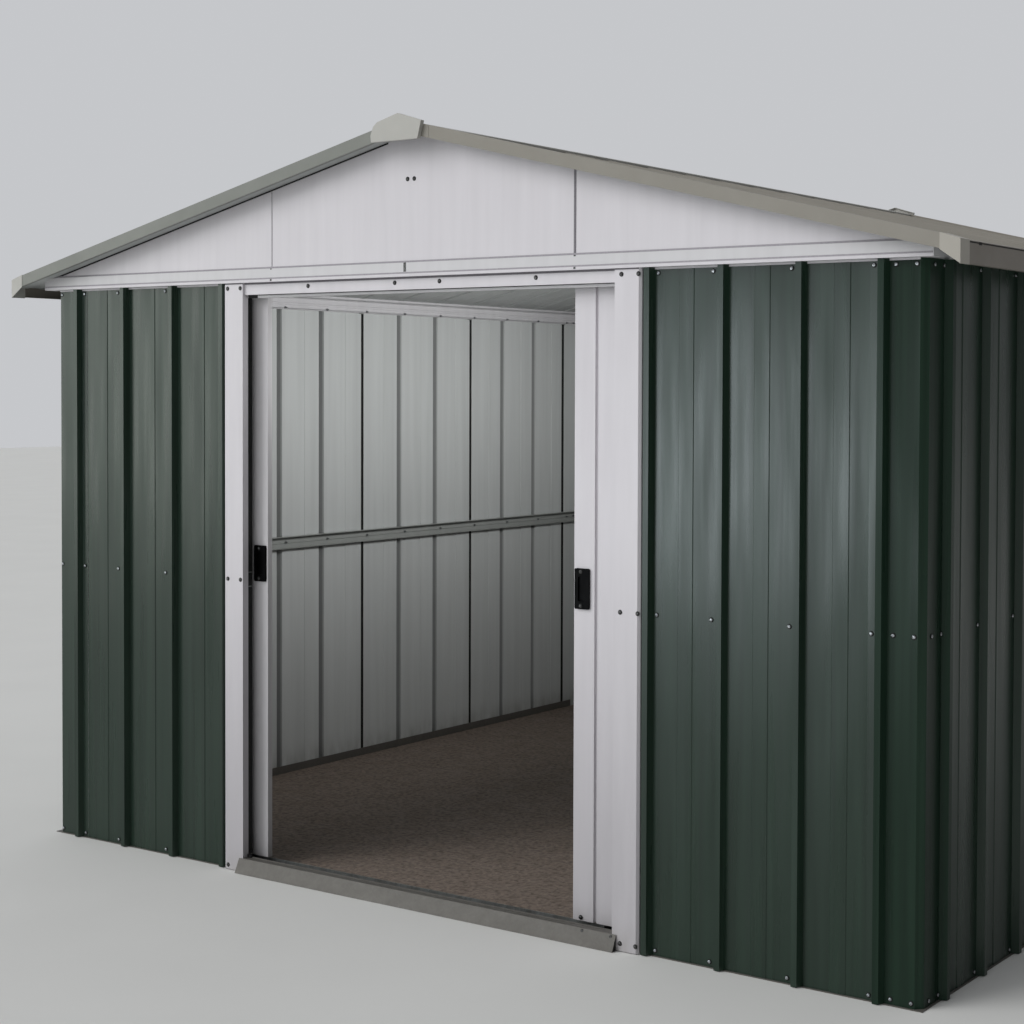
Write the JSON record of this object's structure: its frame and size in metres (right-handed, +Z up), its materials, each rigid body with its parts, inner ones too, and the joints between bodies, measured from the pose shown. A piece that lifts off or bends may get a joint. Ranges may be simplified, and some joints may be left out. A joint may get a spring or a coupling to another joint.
{
  "type": "metal storage shed",
  "caption": "Gabled sheet-steel garden shed with dark green ribbed walls, white jambs and gables, and twin sliding doors standing open over a low sill.",
  "frame": {"origin": "centre of the shed's rectangle at ground level, under the base frame", "axes": "+Z up, the doorway faces -Y, +X to the right as seen from the front, ridge along Y"},
  "size_m": [3.019, 2.776, 2],
  "materials": {
    "wall_green_steel": "dark green coil-coated steel sheet, semi-gloss",
    "roof_olive_steel": "olive grey coil-coated steel sheet, semi-gloss",
    "white_steel": "off-white coil-coated steel, semi-gloss",
    "door_white_steel": "off-white coil-coated steel, semi-gloss",
    "rail_white_steel": "off-white coated steel rail",
    "trim_olive_steel": "grey-olive coated steel trim",
    "galvanised_steel": "spangled galvanised steel",
    "floor_board": "brown-grey speckled board",
    "black_plastic": "black moulded plastic"
  },
  "bodies": {
    "shed": {"base_frame": "galvanised_steel", "corner_front_left": "wall_green_steel", "corner_front_right": "wall_green_steel", "corner_rear_left": "wall_green_steel", "corner_rear_right": "wall_green_steel", "door_guide_bottom": "galvanised_steel", "door_header": "white_steel", "door_jamb_left": "white_steel", "door_jamb_right": "white_steel", "door_sill": "galvanised_steel", "door_track_top": "galvanised_steel", "eave_fascias": "trim_olive_steel", "floor_boards": "floor_board", "front_wall_left": "wall_green_steel", "front_wall_right": "wall_green_steel", "gable_front": "white_steel", "gable_rail_front": "white_steel", "gable_rail_rear": "white_steel", "gable_rear": "white_steel", "left_wall": "wall_green_steel", "mid_rails": "rail_white_steel", "rake_trims_front": "trim_olive_steel", "rake_trims_rear": "trim_olive_steel", "rear_wall": "wall_green_steel", "ridge_beam": "galvanised_steel", "ridge_cap": "trim_olive_steel", "ridge_end_caps": "trim_olive_steel", "right_wall": "wall_green_steel", "roof_beams": "galvanised_steel", "roof_corner_caps": "trim_olive_steel", "roof_left": "roof_olive_steel", "roof_right": "roof_olive_steel", "top_rails": "rail_white_steel"},
    "left_door": {"left_door_braces": "galvanised_steel", "left_door_handle": "black_plastic", "left_door_hangers": "galvanised_steel", "left_door_panel": "door_white_steel", "left_door_slides": "black_plastic"},
    "right_door": {"right_door_braces": "galvanised_steel", "right_door_handle": "black_plastic", "right_door_hangers": "galvanised_steel", "right_door_panel": "door_white_steel", "right_door_slides": "black_plastic"}
  },
  "joints": [
    {"name": "left_door_slide", "type": "slide", "parent": "shed", "child": "left_door", "axis": [1, 0, 0], "range_m": [0, 0.568]},
    {"name": "right_door_slide", "type": "slide", "parent": "shed", "child": "right_door", "axis": [-1, 0, 0], "range_m": [-0.111, 0.457]}
  ]
}
